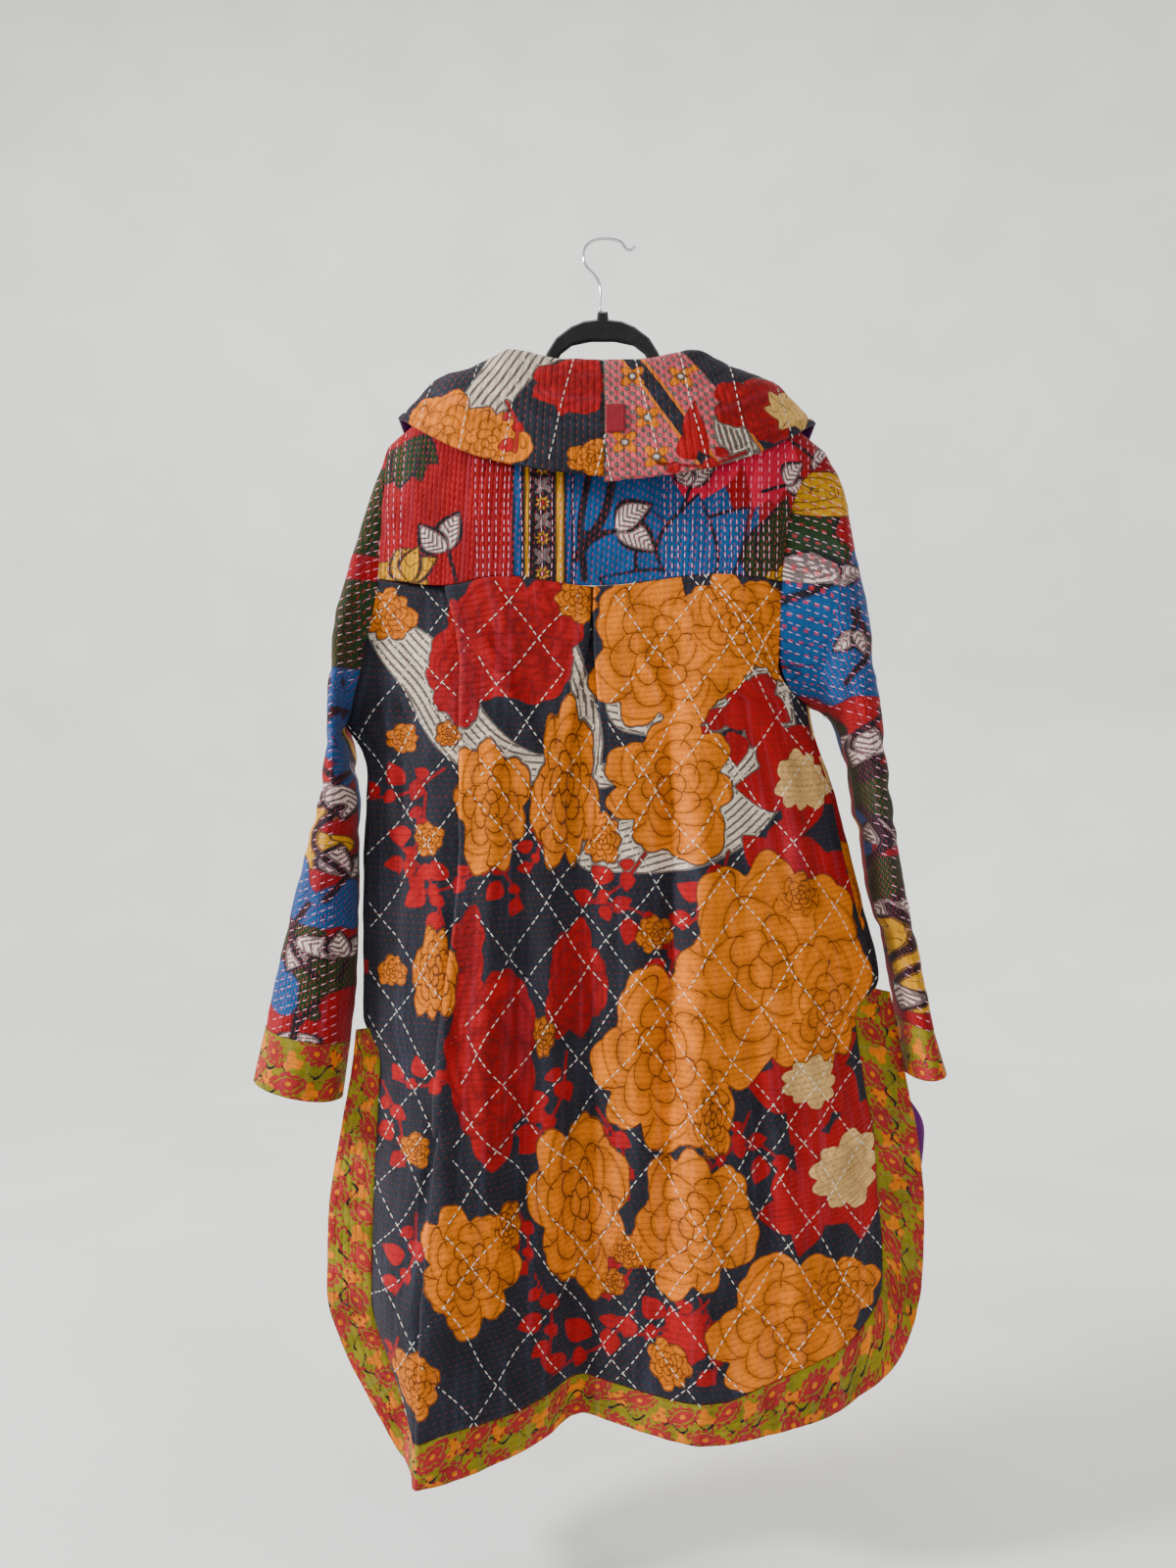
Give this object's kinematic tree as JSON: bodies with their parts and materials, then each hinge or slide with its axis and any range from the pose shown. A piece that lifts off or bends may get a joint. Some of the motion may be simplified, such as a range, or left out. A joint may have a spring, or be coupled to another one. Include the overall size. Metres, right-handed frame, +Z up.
{
  "type": "kantha coat on a hanger",
  "caption": "Long-sleeved quilted coat with a large shawl collar, pleated back, banded hem and cuffs, hanging flat on a hooked hanger.",
  "frame": {"origin": "inside top of the hanger's hook, where the peg or rail holds it", "axes": "+Z up, +Y out of the coat's back, +X to the wearer's left"},
  "size_m": [0.6923, 0.1429, 1.2116],
  "materials": {
    "chrome": "polished wire",
    "flock": "flocked",
    "yoke_print": "printed and hand stitched cotton",
    "body_print": "printed and hand stitched cotton",
    "border_print": "printed cotton band",
    "sleeve_print": "printed and hand stitched cotton",
    "collar_print": "printed and hand stitched cotton",
    "tab_cloth": "plain cotton"
  },
  "bodies": {
    "root": {"hanger_hook": "chrome", "hanger_body": "flock", "back_yoke": "yoke_print", "back_panel": "body_print", "back_border": "border_print", "front_left": "body_print", "front_left_border": "border_print", "front_right": "body_print", "front_right_border": "border_print", "sleeve_left": "sleeve_print", "sleeve_right": "sleeve_print", "cuff_left": "border_print", "cuff_right": "border_print", "collar_left": "collar_print", "collar_right": "collar_print", "collar_tab": "tab_cloth"}
  },
  "joints": []
}
